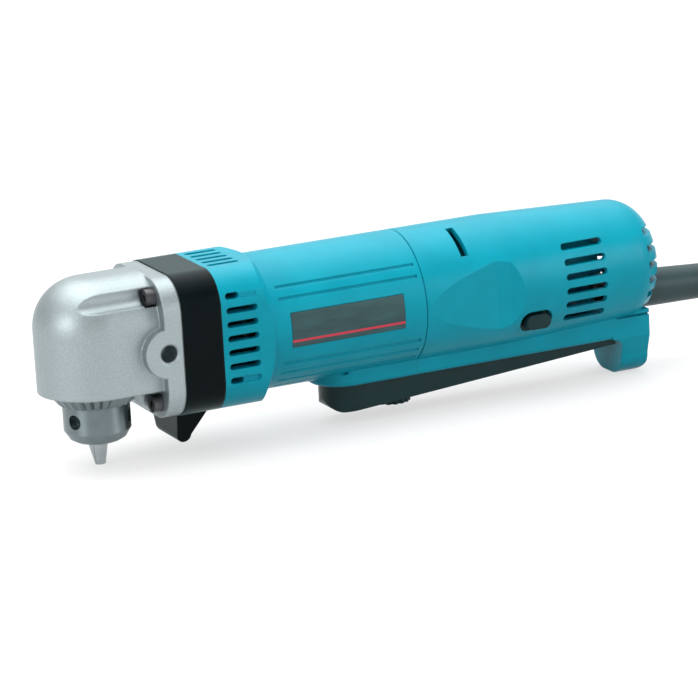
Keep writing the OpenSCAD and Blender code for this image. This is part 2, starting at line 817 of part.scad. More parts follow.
module motor_housing() {
  shoulder_x = vent_x + vent_len;
  neck_x = vent_x + neck_len;
  corner_r = norm([section_hw, section_hh]);
  seam_edge = 0.5;
  air_hole_r = 4;
  boss_x = boss_front_x - skirt_hw;
  color(teal) place() difference() {
    union() {
      intersection() {
        along_x(vent_x, neck_x) front_section();
        turned_x(motor_axis_z) polygon([[0, vent_x], [corner_r, vent_x], [corner_r, shoulder_x],
          [barrel_r - skin, neck_x + skin], [0, neck_x + skin]]);
      }
      turned_x(motor_axis_z) polygon([[0, shoulder_x], [barrel_r, shoulder_x], [barrel_r, seam_x - seam_edge],
        [barrel_r - seam_edge, seam_x], [0, seam_x]]);
      skirt_form(boss_x, seam_x, true);
    }
    rod_x(vent_x - 1, shoulder_x + 2, front_bore_r, motor_axis_z);
    rod_x(shoulder_x + 1, rear_bearing_x, bore_r, motor_axis_z);
    rod_x(rear_bearing_x - 1, rear_bearing_x + rear_bearing_t, rear_bearing_r + seat_gap, motor_axis_z);
    rod_x(rear_bearing_x - 1, seam_x + 1, rear_bearing_r - 2, motor_axis_z);
    for (a = [30 : 60 : 330])
      translate([rear_bearing_x - 1, 0, motor_axis_z]) rotate([a, 0, 0])
        translate([0, 0, (rear_bearing_r + bore_r) / 2 + 0.4]) rotate([0, 90, 0])
          cylinder(r = air_hole_r, h = far);
    lever_channel(seam_x + 1);
    for (s = [-1, 1])
      rod_y(pivot_x, pivot_z, lever_pin_r + seat_gap, s > 0 ? channel_hw - 1 : -channel_hw - 1.8,
        s > 0 ? channel_hw + 1.8 : -channel_hw + 1);
    at_head_screws() rod_x(vent_x - 1, vent_x + 13, screw_r + run_gap, 0);
    front_vents();
    grip_lines();
    plate_form(0.1, barrel_r - plate_depth - seat_gap, barrel_r + 1);
  }
}

// Motor shaft with the pinion teeth cut on its front end
module armature_shaft() {
  color(steel) place() union() {
    translate([spur_x - 0.4, 0, motor_axis_z]) rotate([0, 90, 0]) rotate(180)
      linear_extrude(height = spur_w + 0.6) spur_outline_1();
    rod_x(spur_x + spur_w, case_back_x + 0.2, front_shaft_r, motor_axis_z);
    rod_x(case_back_x + 0.2 - skin, rear_bearing_x + rear_bearing_t, shaft_r, motor_axis_z);
  }
}

module armature_core() {
  slots = 12;
  slot_w = 2.4;
  slot_depth = 0.6 * (core_r - shaft_r);
  color(dark_steel) place() difference() {
    rod_x(core_x, core_x + core_len, core_r, motor_axis_z);
    rod_x(core_x - 1, core_x + core_len + 1, shaft_r + seat_gap, motor_axis_z);
    for (i = [0 : slots - 1])
      translate([core_x - 1, 0, motor_axis_z]) rotate([i * 360 / slots, 0, 0])
        translate([0, -slot_w / 2, core_r - slot_depth]) cube([core_len + 2, slot_w, slot_depth + 1]);
  }
}

module commutator() {
  bars = 24;
  cut = 0.5;
  color(copper) place() difference() {
    rod_x(commutator_x, commutator_x + commutator_len, commutator_r, motor_axis_z);
    rod_x(commutator_x - 1, commutator_x + commutator_len + 1, shaft_r + seat_gap, motor_axis_z);
    for (i = [0 : bars - 1])
      translate([commutator_x - 1, 0, motor_axis_z]) rotate([i * 360 / bars, 0, 0])
        translate([0, -cut / 2, commutator_r - 1]) cube([commutator_len + 2, cut, 2]);
  }
}

module cooling_fan() {
  hub_r = shaft_r + 4;
  disc_t = 2;
  blade_t = 1.2;
  color(black) place() difference() {
    union() {
      rod_x(fan_x, fan_x + fan_t, hub_r, motor_axis_z);
      rod_x(fan_x + fan_t - disc_t, fan_x + fan_t, fan_r, motor_axis_z);
      for (i = [0 : fan_blades - 1])
        translate([0, 0, motor_axis_z]) rotate([i * 360 / fan_blades, 0, 0])
          translate([fan_x, -blade_t / 2, hub_r - 1]) cube([fan_t - disc_t / 2, blade_t, fan_r - hub_r]);
    }
    rod_x(fan_x - 1, fan_x + fan_t + 1, shaft_r + seat_gap, motor_axis_z);
  }
}

module front_motor_bearing() {
  color(steel) place() bearing_x(case_back_x - front_bearing_t + 0.1, front_bearing_t - 0.1, front_bearing_r,
    front_shaft_r + run_gap, motor_axis_z);
}

module rear_motor_bearing() {
  color(steel) place() bearing_x(rear_bearing_x - 0.2, rear_bearing_t, rear_bearing_r, shaft_r + run_gap,
    motor_axis_z);
}

// Laminated field core with two pole shoes round the armature
module field_core() {
  color(dark_steel) place() difference() {
    union() {
      tube_x(core_x, core_x + core_len, field_r, field_r - field_ring_t);
      intersection() {
        rod_x(core_x, core_x + core_len, field_r - 1, motor_axis_z);
        translate([core_x, -pole_w / 2, 0]) cube([core_len, pole_w, far]);
      }
    }
    rod_x(core_x - 1, core_x + core_len + 1, core_r + air_gap, motor_axis_z);
  }
}

// Field windings in the two side spaces of the core
module field_coils() {
  gap = 0.3;
  color(copper) place() for (s = [0, 1]) mirror([0, s, 0]) intersection() {
    tube_x(core_x - coil_over, core_x + core_len + coil_over, field_r - field_ring_t - gap,
      core_r + air_gap + 0.8);
    translate([0, pole_w / 2 + gap, 0]) cube([far, far, far]);
  }
}

// Brass holders of the two brushes, between the commutator and the housing wall
module brush_holders() {
  inner = commutator_r + 2;
  depth = brush_outer - inner;
  box_w = brush_w + 2 * brush_wall;
  box_h = brush_h + 2 * brush_wall;
  bore_w = brush_w + 2 * seat_gap;
  bore_h = brush_h + 2 * seat_gap;
  color(brass) place() for (s = [0, 1]) mirror([0, s, 0])
    translate([brush_x, inner, motor_axis_z]) difference() {
      translate([-box_w / 2, 0, -box_h / 2]) cube([box_w, depth, box_h]);
      translate([-bore_w / 2, -brush_wall, -bore_h / 2]) cube([bore_w, depth, bore_h]);
    }
}

module carbon_brushes() {
  color(graphite) place() for (s = [0, 1]) mirror([0, s, 0]) difference() {
    translate([brush_x - brush_w / 2, 0, motor_axis_z - brush_h / 2]) cube([brush_w, brush_end, brush_h]);
    rod_x(commutator_x - 1, commutator_x + commutator_len + 1, brush_inner, motor_axis_z);
  }
}

// Section of the handle turned about the motor axis, drawn smaller by an inset
module handle_profile(inset) {
  bend_x = seam_x + handle_bend;
  crown_x = rear_x - crown_r;
  polygon([[0, seam_x], [barrel_r - inset, seam_x], [barrel_r - inset, bend_x],
    [handle_end_r - inset, crown_x], [0, crown_x]]);
  translate([handle_end_r - crown_r, crown_x]) intersection() {
    circle(r = crown_r - inset);
    square([far, far]);
  }
  translate([0, crown_x - skin]) square([handle_end_r - crown_r + skin, crown_r - inset + skin]);
}

// The leg under the rear end, drawn in the cross plane
module foot_section() {
  polygon([[-foot_hw, foot_round], [foot_hw, foot_round], [skirt_hw, skirt_z], [skirt_hw, channel_top_z + 2],
    [-skirt_hw, channel_top_z + 2], [-skirt_hw, skirt_z]]);
  translate([foot_round - foot_hw, 0]) square([2 * (foot_hw - foot_round), foot_round]);
  for (s = [-1, 1])
    translate([s * (foot_hw - foot_round), foot_round]) circle(r = foot_round);
}

// The foot with a rounded back edge and a round inner corner where the skirt turns down into it
module foot_form() {
  back_r = 5;
  corner_r = 5;
  corner_x = foot_front_x - corner_r;
  difference() {
    along_x(corner_x, foot_back_x) foot_section();
    rod_y(corner_x, skirt_z - corner_r, corner_r, -far, far);
    translate([corner_x - 1, -far, -1]) cube([corner_r + 1, 2 * far, skirt_z - corner_r + 1]);
    difference() {
      translate([foot_back_x - back_r, -far, -1]) cube([back_r + 1, 2 * far, back_r + 1]);
      rod_y(foot_back_x - back_r, back_r, back_r, -far, far);
    }
  }
}

// Flat thumb rests that run out on both sides of the handle, drawn deeper by an inset
module thumb_rests(inset) {
  start = 2.5;
  deep = 34;
  bend = 40;
  end = 45;
  depth = 4;
  for (s = [0, 1])
    mirror([0, s, 0]) translate([seam_x, inset - barrel_r, 0])
      linear_extrude(height = far)
        polygon([[start, 0], [start, -inset - 1], [end + inset, -inset - 1], [end + inset, 0],
          [bend + inset, 0.8 * depth], [deep, depth]]);
}

// Ribs, bosses and seats inside the handle
module handle_inside() {
  rib_t = 3;
  saddle_t = 6;
  intersection() {
    union() {
      for (p = handle_screw_places) rod_y(p[0], p[1], handle_boss_r, -far, far);
      difference() {
        for (x = [switch_x + 4, switch_x + switch_len - 7])
          translate([x, -far, switch_z]) cube([rib_t, 2 * far, switch_h]);
        translate([0, -switch_hw - 0.1, 0]) cube([far + far, 2 * switch_hw + 0.2, far]);
      }
      translate([clamp_x, -far, channel_top_z]) cube([saddle_t, 2 * far, guard_z - channel_top_z]);
      tilted_guard() rod_x(-guard_seat, 14, guard_r + 3, 0);
    }
    turned_x(motor_axis_z) handle_profile(handle_wall / 2);
  }
}

// The line of the cord guard: drawn from its inner end at the origin along the motor axis
module tilted_guard() {
  translate([guard_x, 0, guard_z]) rotate([0, guard_droop, 0]) children();
}

// All cuts through the walls of the handle
module handle_openings() {
  slit_w = 3.3;
  slit_len = 16.5;
  slit_turn = 33;
  vent_rows = 6;
  fin_rows = 6;
  fin_depth = 9;
  slot_x = rear_x - 0.434 * handle_len;
  for (s = [0, 1]) mirror([0, s, 0]) {
    for (i = [0 : vent_rows - 1])
      slot_y(slot_x, motor_axis_z + (i - (vent_rows - 1) / 2) * rear_slot_step, rear_slot_len, rear_slot_h,
        -far, -handle_end_r / 3);
    translate([seam_x + slit_at - slit_w / 2, 0, motor_axis_z]) rotate([slit_turn, 0, 0])
      translate([0, -slit_len / 2, barrel_r - 2 * handle_wall]) cube([slit_w, slit_len, far]);
  }
  difference() {
    for (i = [0 : fin_rows - 1])
      translate([rear_x - fin_depth, -handle_end_r, motor_axis_z - 1.7 - fin_gap / 2
        + (i - (fin_rows - 1) / 2) * fin_step]) cube([fin_depth + 1, 2 * handle_end_r, fin_gap]);
    tilted_guard() rod_x(-far / 2, far, guard_r + 3, 0);
    translate([0, -far, 0]) cube([rear_x + 1, 2 * far, channel_top_z + 2]);
  }
  tilted_guard() {
    rod_x(-5, far, guard_r + seat_gap, 0);
    rod_x(0, 3.2, guard_r + 2 + seat_gap, 0);
    rod_x(-far / 2, 1, cord_r + seat_gap, 0);
  }
  slot_y(lock_x - lock_len / 2 - lock_margin, lock_z, lock_len + 2 * lock_margin, bezel_h, -far, lock_back_y);
  translate([seam_x - 1, -channel_hw, -1])
    cube([foot_front_x - seam_x + 1, 2 * channel_hw, channel_top_z + 1]);
}

// The whole handle before it is parted down the middle
module handle_form() {
  web_top_z = motor_axis_z - crown_r / 2;
  difference() {
    union() {
      difference() {
        union() {
          turned_x(motor_axis_z) handle_profile(0);
          skirt_form(seam_x + skin, foot_front_x - 3, false);
          foot_form();
          intersection() {
            rod_x(foot_front_x, foot_back_x, handle_end_r, motor_axis_z);
            translate([0, -skirt_hw, skirt_z]) cube([rear_x, 2 * skirt_hw, web_top_z - skirt_z]);
          }
        }
        difference() {
          union() {
            turned_x(motor_axis_z) handle_profile(handle_wall);
            rod_x(seam_x - 1, seam_x + 1, barrel_r - handle_wall, motor_axis_z);
          }
          thumb_rests(handle_wall);
        }
      }
      handle_inside();
    }
    thumb_rests(0);
    handle_openings();
  }
}

// Left half of the handle, towards the lock button
module handle_left() {
  pilot_depth = 11;
  color(teal) place() difference() {
    intersection() {
      handle_form();
      translate([0, -far, -1]) cube([2 * far, far, far]);
    }
    for (p = handle_screw_places) rod_y(p[0], p[1], handle_screw_r + run_gap, -pilot_depth, 1);
  }
}

// Right half of the handle, which the screws enter
module handle_right() {
  color(teal) place() difference() {
    intersection() {
      handle_form();
      translate([0, 0, -1]) cube([2 * far, far, far]);
    }
    for (p = handle_screw_places) {
      rod_y(p[0], p[1], handle_screw_r + run_gap, -1, handle_seat_y + 1);
      rod_y(p[0], p[1], handle_head_r + 0.3, handle_seat_y, far);
    }
  }
}

module handle_screws() {
  head_t = 2.4;
  length = 18;
  cross_w = 1;
  color(dark_steel) place() for (p = handle_screw_places) difference() {
    union() {
      rod_y(p[0], p[1], handle_screw_r, handle_seat_y - length, handle_seat_y + skin);
      rod_y(p[0], p[1], handle_head_r, handle_seat_y, handle_seat_y + head_t);
    }
    for (a = [0, 90])
      translate([p[0], handle_seat_y + head_t, p[1]]) rotate([0, a, 0])
        cube([3.6, 2.4, cross_w], center = true);
  }
}

// Height of the floor of the lever at a place along it
function lever_floor(x) = lever_front_z
  + (x - lever_nose_x) * (lever_rear_z - lever_front_z) / (lever_end_x - lever_nose_x);

// Long switch lever under the barrel, hollow above, with a pivot ear in front
module switch_lever() {
  ear_r = lever_pin_r + 0.9;
  top_z = skirt_z + 1.4;
  floor_t = 2.4;
  end_t = 2.4;
  hollow_x = pivot_x + 7;
  bridge_z = dial_z + dial_t + 1.4;
  bridge_t = 3;
  module plan(inset) {
    translate([pivot_x, 0]) circle(r = lever_front_r - inset);
    translate([pivot_x, -lever_hw + inset]) square([lever_end_x - pivot_x - inset, 2 * (lever_hw - inset)]);
  }
  module across() {
    translate([0, far / 2, 0]) rotate([90, 0, 0]) linear_extrude(height = far) children();
  }
  color(black) place() difference() {
    union() {
      difference() {
        intersection() {
          across() {
            polygon([[lever_front_x, lever_front_z + lever_nose_r], [lever_front_x, top_z],
              [pivot_x - 5, top_z], [pivot_x - 4, pivot_z + ear_r], [pivot_x + 4, pivot_z + ear_r],
              [pivot_x + 5, top_z], [lever_end_x, lever_rear_z + end_t], [lever_end_x, lever_rear_z],
              [lever_nose_x, lever_front_z]]);
            translate([lever_nose_x, lever_front_z + lever_nose_r]) circle(r = lever_nose_r);
          }
          linear_extrude(height = far) plan(0);
        }
        intersection() {
          across() polygon([[hollow_x, lever_floor(hollow_x) + floor_t],
            [lever_end_x, lever_rear_z + floor_t], [lever_end_x, far], [hollow_x, far]]);
          linear_extrude(height = far) plan(lever_wall);
        }
      }
      translate([plunger_x, 0, lever_floor(plunger_x) + 1])
        cylinder(r = plunger_r + 1, h = plunger_z - 0.3 - lever_floor(plunger_x) - 1);
      translate([dial_x - 4, -lever_hw + 1, bridge_z]) cube([8, 2 * lever_hw - 2, bridge_t]);
    }
    translate([dial_x, 0, 0]) cylinder(r = dial_r + free_gap, h = bridge_z - 0.6);
    translate([dial_x, 0, 0]) cylinder(r = dial_stem_r + run_gap, h = far);
    rod_y(pivot_x, pivot_z, lever_pin_r + run_gap, -far, far);
  }
}

module lever_pin() {
  color(steel) place() rod_y(pivot_x, pivot_z, lever_pin_r, -channel_hw - 1.6, channel_hw + 1.6);
}

// Notched dial under the lever that sets the top speed, with a stem in the lever
module speed_dial() {
  notches = 16;
  notch_r = 0.8;
  stem_top_z = dial_z + dial_t + 4.6;
  color(black) place() translate([dial_x, 0, 0]) difference() {
    union() {
      translate([0, 0, dial_z]) cylinder(r = dial_r, h = dial_t);
      translate([0, 0, dial_z]) cylinder(r = dial_stem_r, h = stem_top_z - dial_z + skin);
      translate([0, 0, stem_top_z]) cylinder(r = dial_stem_r + 1, h = 1);
    }
    for (i = [0 : notches - 1])
      rotate(i * 360 / notches) translate([dial_r, 0, dial_z - 1]) cylinder(r = notch_r, h = dial_t + 2);
  }
}

// Trigger switch in the handle, with a bore for its plunger
module switch_body() {
  lug = 3;
  color(black) place() difference() {
    union() {
      translate([switch_x, -switch_hw, switch_z]) cube([switch_len, 2 * switch_hw, switch_h]);
      translate([plunger_x, 0, switch_z - 0.6]) cylinder(r = plunger_r + 2, h = 1);
      for (y = [-6, 6])
        translate([switch_x + switch_len - 1, y - 1, switch_z + switch_h / 2]) cube([lug + 1, 2, 6]);
    }
    translate([plunger_x, 0, switch_z - 1]) cylinder(r = plunger_r + run_gap, h = 15);
    for (x = [switch_x - 1, switch_x + switch_len - 2])
      translate([x, -switch_hw - 1, switch_z + switch_h - 2]) cube([3, 2 * switch_hw + 2, 3]);
  }
}

module switch_plunger() {
  inside = 8;
  color(brass) place() translate([plunger_x, 0, plunger_z])
    cylinder(r = plunger_r, h = switch_z - plunger_z + inside);
}

// Sunk sleeve that guides the lock button
module lock_bezel() {
  color(black) place() difference() {
    slot_y(lock_x - lock_len / 2 - lock_margin + seat_gap, lock_z, lock_len + 2 * (lock_margin - seat_gap),
      bezel_h - 2 * seat_gap, lock_rim_y, lock_back_y);
    slot_y(lock_x - lock_len / 2 - run_gap, lock_z, lock_len + 2 * run_gap, 2 * (lock_r + run_gap),
      -far, far);
  }
}

module lock_button() {
  back_y = lock_back_y + 0.8;
  color(black) place() slot_y(lock_x - lock_len / 2, lock_z, lock_len, 2 * lock_r, lock_face_y, back_y);
}

// Cuts the three slanted jaw bores, or places one jaw
module jaw_line(angle) {
  rotate(angle) translate([0, 0, jaw_cross_z]) rotate([0, jaw_tilt, 0])
    translate([0, 0, -jaw_start]) children();
}

module chuck_body() {
  chamfer = 1.2;
  slope = 4.6;
  mouth_r = nose_r - 4.1;
  groove_r = 9.8;
  groove_top_z = shoulder_z + nut_t + free_gap;
  bit_r = 4.6;
  color(steel) place() difference() {
    rotate_extrude() polygon([[0, nose_z], [mouth_r, nose_z], [mouth_r + 2, nose_z + chamfer],
      [nose_r, nose_z + slope], [nose_r, shoulder_z], [groove_r, shoulder_z], [groove_r, groove_top_z],
      [chuck_upper_r, groove_top_z], [chuck_upper_r, chuck_top_z], [0, chuck_top_z]]);
    translate([0, 0, thread_z]) cylinder(r = spindle_thread_r + seat_gap, h = far);
    translate([0, 0, nose_z - 1]) cylinder(r = bit_r, h = shoulder_z - nose_z + 5);
    for (a = jaw_angles) {
      jaw_line(a) cylinder(r = jaw_r + run_gap, h = far);
      rotate(a + 60) translate([nose_r - key_hole_depth, 0, key_z]) rotate([0, 90, 0])
        cylinder(r = key_hole_r, h = key_hole_depth + 1);
    }
  }
}

// Sleeve with bevelled key teeth round its lower edge
module chuck_sleeve() {
  lip_z = tip_z + lip_rise;
  rim_z = tip_z + rim_rise;
  lip_t = 1.4;
  lip_r = nose_r + lip_t;
  bore = chuck_upper_r + run_gap;
  tooth_depth = 1.1;
  cut_w = 3;
  cut_len = 14;
  lean = atan((sleeve_r - lip_r) / (rim_z - lip_z));
  color(steel) place() difference() {
    rotate_extrude() polygon([[nose_r + run_gap, lip_z], [lip_r, lip_z], [sleeve_r, rim_z],
      [sleeve_r, sleeve_top_z], [bore, sleeve_top_z], [bore, shoulder_z], [nose_r + run_gap, shoulder_z]]);
    for (i = [0 : key_teeth - 1])
      rotate(i * 360 / key_teeth) translate([lip_r, 0, lip_z]) rotate([0, lean, 0])
        translate([-tooth_depth, 0, -cut_w]) rotate(-45)
          cube([cut_w, cut_w, cut_len]);
  }
}

// Ring inside the sleeve that drives the jaws
module chuck_nut() {
  inner = jaw_cross_to_edge(shoulder_z + nut_t) + free_gap;
  outer = chuck_upper_r + run_gap - seat_gap;
  color(brass) place() ring_z(outer, inner, shoulder_z + seat_gap, shoulder_z + nut_t);
}

// Distance of the outer edge of a jaw from the spindle axis at a height
function jaw_cross_to_edge(z) = (z - jaw_cross_z) * tan(jaw_tilt) + jaw_r / cos(jaw_tilt);

// One jaw: a slanted pin whose tip is cut to its third of the grip
module jaw(angle) {
  apart = 0.09;
  color(steel) place() intersection() {
    jaw_line(angle) cylinder(r = jaw_r, h = far);
    rotate(angle) translate([0, 0, tip_z]) linear_extrude(height = jaw_top_z - tip_z)
      polygon([[apart, 0], [far, (far - apart) * tan(60)], [far, -(far - apart) * tan(60)]]);
  }
}

module jaw_1() {
  jaw(jaw_angles[0]);
}

module jaw_2() {
  jaw(jaw_angles[1]);
}

module jaw_3() {
  jaw(jaw_angles[2]);
}

// Tapered cord guard with a flange held in the handle
module cord_guard() {
  color(black) place() tilted_guard() rotate([0, 90, 0]) rotate_extrude()
    polygon([[0, -3], [guard_r, -3], [guard_r, 0.1], [guard_r + 2, 0.1], [guard_r + 2, 3.1], [guard_r, 3.1],
      [guard_r, 14], [guard_mid_r, 0.61 * guard_reach], [guard_end_r, guard_reach], [0, guard_reach]]);
}

// Cord inside the handle between its clamp and the guard
module inner_cord() {
  color(black) place() tilted_guard() rod_x(clamp_x - guard_x - 2, -3, cord_r, 0);
}

// Bar that holds the cord on its saddle
module cord_clamp() {
  bar_t = guard_x - guard_seat - clamp_x - 0.2;
  bar_hw = 10;
  color(black) place() difference() {
    translate([clamp_x, -bar_hw, guard_z + 0.2]) cube([bar_t, 2 * bar_hw, cord_r + 3]);
    tilted_guard() rod_x(-far / 2, 1, cord_r + seat_gap, 0);
  }
}

// A tube swept along points, its rings square to the way it runs
function direction(path, i) = let (a = path[max(i - 1, 0)], b = path[min(i + 1, len(path) - 1)])
  (b - a) / norm(b - a);
function ring_side(t) = cross(t, [0, 0, 1]) / norm(cross(t, [0, 0, 1]));
module tube(path, r, sides) {
  n = len(path);
  points = [for (i = [0 : n - 1]) let (t = direction(path, i), s = ring_side(t), u = cross(s, t))
    for (k = [0 : sides - 1]) path[i] + r * (cos(k * 360 / sides) * s + sin(k * 360 / sides) * u)];
  walls = [for (i = [0 : n - 2], k = [0 : sides - 1]) let (a = i * sides + k, b = i * sides + (k + 1) % sides)
    each [[a, b, b + sides], [a, b + sides, a + sides]]];
  ends = [for (k = [1 : sides - 2]) each [[0, k + 1, k],
    [(n - 1) * sides, (n - 1) * sides + k, (n - 1) * sides + k + 1]]];
  polyhedron(points = points, faces = concat(walls, ends), convexity = 10);
}

// Folded hank: every loop is two runs and two round ends, wound in and out in four layers
function hank_wave(t) = t < hank_turns[0] ? hank_turns[0] - t
  : t < hank_turns[1] ? t - hank_turns[0]
  : t < hank_turns[2] ? hank_turns[1] - hank_turns[0] - (t - hank_turns[1])
  : t - hank_turns[2];
function ease(x) = let (c = min(max(x, 0), 1)) c * c * (3 - 2 * c);
function hank_layer(t) = ease((t - hank_turns[0]) * 4 + 0.5) + ease((t - hank_turns[1]) * 4 + 0.5)
  + ease((t - hank_turns[2]) * 4 + 0.5);
function hank_along(u) = u < 0.25 ? 4 * u : u < 0.5 ? 1 : u < 0.75 ? 3 - 4 * u : 0;
function hank_angle(u) = u < 0.25 ? -90 : u < 0.5 ? 720 * u - 270 : u < 0.75 ? 90 : 720 * u - 450;
function hank_point(t) = let (u = t - floor(t), r = hank_in_r + hank_step * hank_wave(t),
  along = hank_along(u), waist = hank_waist * pow(sin(180 * along), 2))
    [hank_x + along * hank_run + r * cos(hank_angle(u)), hank_y + (r - waist) * sin(hank_angle(u)),
      cord_floor_z + layer_step * hank_layer(t)];
straight = [cord_d, 0, 0];
hank_first = hank_point(0) - straight;
hank_last = hank_point(hank_end) - straight;
hank_rings = [for (i = [0 : hank_end * coil_rings]) hank_point(i / coil_rings)];
hank_path = concat([hank_first], hank_rings, [hank_last]);

// Free stretch from the guard down to the floor, as shares of the way along, across and down
lead_shares = [[0, 0, 0], [0.1, 0, 0.01], [0.2, 0.02, 0.06], [0.3, 0.1, 0.17], [0.42, 0.28, 0.37],
  [0.54, 0.52, 0.6], [0.66, 0.75, 0.81], [0.78, 0.91, 0.94], [0.9, 1, 1], [1, 1, 1]];
lead_way = hank_first - guard_tip;
lead_path = [for (s = lead_shares) guard_tip + [s[0] * lead_way[0], s[1] * lead_way[1], s[2] * lead_way[2]]];

// Free end that climbs onto the hank, as steps from where the hank ends
tail_steps = [[0, 0, 0], [-7, 0, 0], [-20, 0, 2], [-33, -1.5, 6.5], [-46, -6, 10.5], [-58, -10.5, 12],
  [-70, -13, 12.3], [-80, -13, 12.3]];
tail_path = [for (s = tail_steps) hank_last + s];
plug_at = hank_last + tail_steps[len(tail_steps) - 1];

// Length of the cord and the least gap it leaves to itself, measured on points
function total(v, i = 0) = i < len(v) ? v[i] + total(v, i + 1) : 0;
function path_length(p) = total([for (i = [1 : len(p) - 1]) norm(p[i] - p[i - 1])]);
function halved(p) = [for (i = [0 : len(p) - 2], k = [0, 0.5]) p[i] + k * (p[i + 1] - p[i])];
function least_gap(p, skip) = min([for (i = [0 : len(p) - 1 - skip], j = [i + skip : len(p) - 1])
  norm(p[i] - p[j])]) - cord_d;
cord_points = halved(concat(lead_path, hank_path, tail_path));
echo(cord_length = path_length(lead_path) + path_length(hank_path) + path_length(tail_path));
echo(cord_least_gap = least_gap(cord_points, 8));

module cord_lead() {
  color(black) tube(lead_path, cord_r, cord_sides);
}

module cord_coil() {
  color(black) tube(hank_path, cord_r, coil_sides);
}

// Free end from the hank up to the plug on top of it
module cord_tail() {
  color(black) tube(tail_path, cord_r, cord_sides);
}

// Band round the waist of the hank
module cord_tie() {
  band_w = 12;
  top = cord_floor_z + 3 * layer_step;
  hw = hank_in_r + hank_step * hank_turns[0] - hank_waist + cord_r + band_gap;
  hh = (top - cord_floor_z) / 2 + cord_r + band_gap;
  mid_z = (top + cord_floor_z) / 2;
  color(graphite) translate([hank_x + hank_run / 2 - band_w / 2, hank_y, mid_z]) rotate([90, 0, 90])
    linear_extrude(height = band_w) difference() {
      round_rect(hw + band_t, hh + band_t, cord_r + band_gap + band_t);
      round_rect(hw, hh, cord_r + band_gap);
    }
}

// Flat moulded two-pin plug lying on the hank
module plug_body() {
  length = 36;
  hw = 13;
  hh = 7;
  neck = 12;
  color(black) translate(plug_at) rotate([0, -90, 0]) difference() {
    union() {
      cylinder(r1 = cord_r + 1.4, r2 = hh - 1, h = neck);
      translate([0, 0, neck - skin]) linear_extrude(height = length - neck) round_rect(hh, hw, 4);
    }
    for (s = [-1, 1])
      translate([0, s * plug_pin_pitch / 2, length - 6]) cylinder(d = plug_pin_d + 2 * seat_gap, h = 10);
  }
}

module plug_pins() {
  length = 36;
  pin_len = 19;
  color(brass) translate(plug_at) rotate([0, -90, 0])
    for (s = [-1, 1])
      translate([0, s * plug_pin_pitch / 2, length - 6]) {
        cylinder(d = plug_pin_d, h = 6 + pin_len - plug_pin_d / 2);
        translate([0, 0, 6 + pin_len - plug_pin_d / 2]) sphere(d = plug_pin_d);
      }
}

gear_head();
bearing_box();
bearing_circlip();
spindle();
spindle_upper_bearing();
spindle_lower_bearing();
bevel_gear();
bevel_pinion();
pinion_bearing();
pinion_bush();
reduction_gear();
gear_case();
head_screws();
collar();
motor_housing();
armature_shaft();
armature_core();
commutator();
cooling_fan();
name_plate();
front_motor_bearing();
rear_motor_bearing();
field_core();
field_coils();
brush_holders();
carbon_brushes();
handle_left();
handle_right();
handle_screws();
switch_lever();
lever_pin();
switch_body();
switch_plunger();
lock_bezel();
lock_button();
speed_dial();
chuck_body();
chuck_sleeve();
chuck_nut();
jaw_1();
jaw_2();
jaw_3();
cord_guard();
inner_cord();
cord_clamp();
cord_lead();
cord_coil();
cord_tail();
cord_tie();
plug_body();
plug_pins();
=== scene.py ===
import json
import math

import bpy
from mathutils import Matrix, Vector


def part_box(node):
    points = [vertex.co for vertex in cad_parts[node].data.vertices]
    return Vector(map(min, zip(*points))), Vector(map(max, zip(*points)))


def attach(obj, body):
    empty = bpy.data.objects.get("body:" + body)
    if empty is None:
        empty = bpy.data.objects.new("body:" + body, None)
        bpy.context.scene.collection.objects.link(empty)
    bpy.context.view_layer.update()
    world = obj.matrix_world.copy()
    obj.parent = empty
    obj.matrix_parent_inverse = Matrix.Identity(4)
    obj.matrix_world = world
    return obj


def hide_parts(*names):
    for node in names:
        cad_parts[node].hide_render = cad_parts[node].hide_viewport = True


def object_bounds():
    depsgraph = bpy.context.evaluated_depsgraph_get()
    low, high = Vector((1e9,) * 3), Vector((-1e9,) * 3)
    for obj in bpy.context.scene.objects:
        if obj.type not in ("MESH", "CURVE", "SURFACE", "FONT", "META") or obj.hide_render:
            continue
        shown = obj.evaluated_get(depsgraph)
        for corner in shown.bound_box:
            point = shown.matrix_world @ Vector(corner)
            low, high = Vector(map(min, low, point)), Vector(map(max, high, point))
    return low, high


# Right angle drill: materials for the pieces of the shared frame, the cord as a smooth tube, and the photo's
# camera, paper and light. Blender's lengths are metres; values taken from the part's source are millimetres.

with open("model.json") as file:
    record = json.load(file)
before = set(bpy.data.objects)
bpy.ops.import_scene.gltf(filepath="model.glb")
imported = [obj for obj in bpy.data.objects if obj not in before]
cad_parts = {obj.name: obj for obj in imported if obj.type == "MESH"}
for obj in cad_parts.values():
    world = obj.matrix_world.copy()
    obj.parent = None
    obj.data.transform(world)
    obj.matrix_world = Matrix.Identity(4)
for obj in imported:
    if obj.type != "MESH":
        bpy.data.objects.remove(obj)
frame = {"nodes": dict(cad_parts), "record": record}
nodes = frame["nodes"]
cad_low, cad_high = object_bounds()

MM = 0.001

# Camera, fitted to the photo: angles in degrees, lengths in millimetres, and the photo's side and the
# focal length in pixels
VIEW_TURN = 24.56
VIEW_RISE = 15.0
VIEW_ROLL = 3.24
VIEW_DISTANCE = 1600.0
VIEW_AIM = (-99.476, -45.604)
PHOTO_SIDE = 698
PHOTO_FOCAL = 4000.0
SENSOR = 36.0

# How far the camera sees, in metres
CLIP_END = 20.0

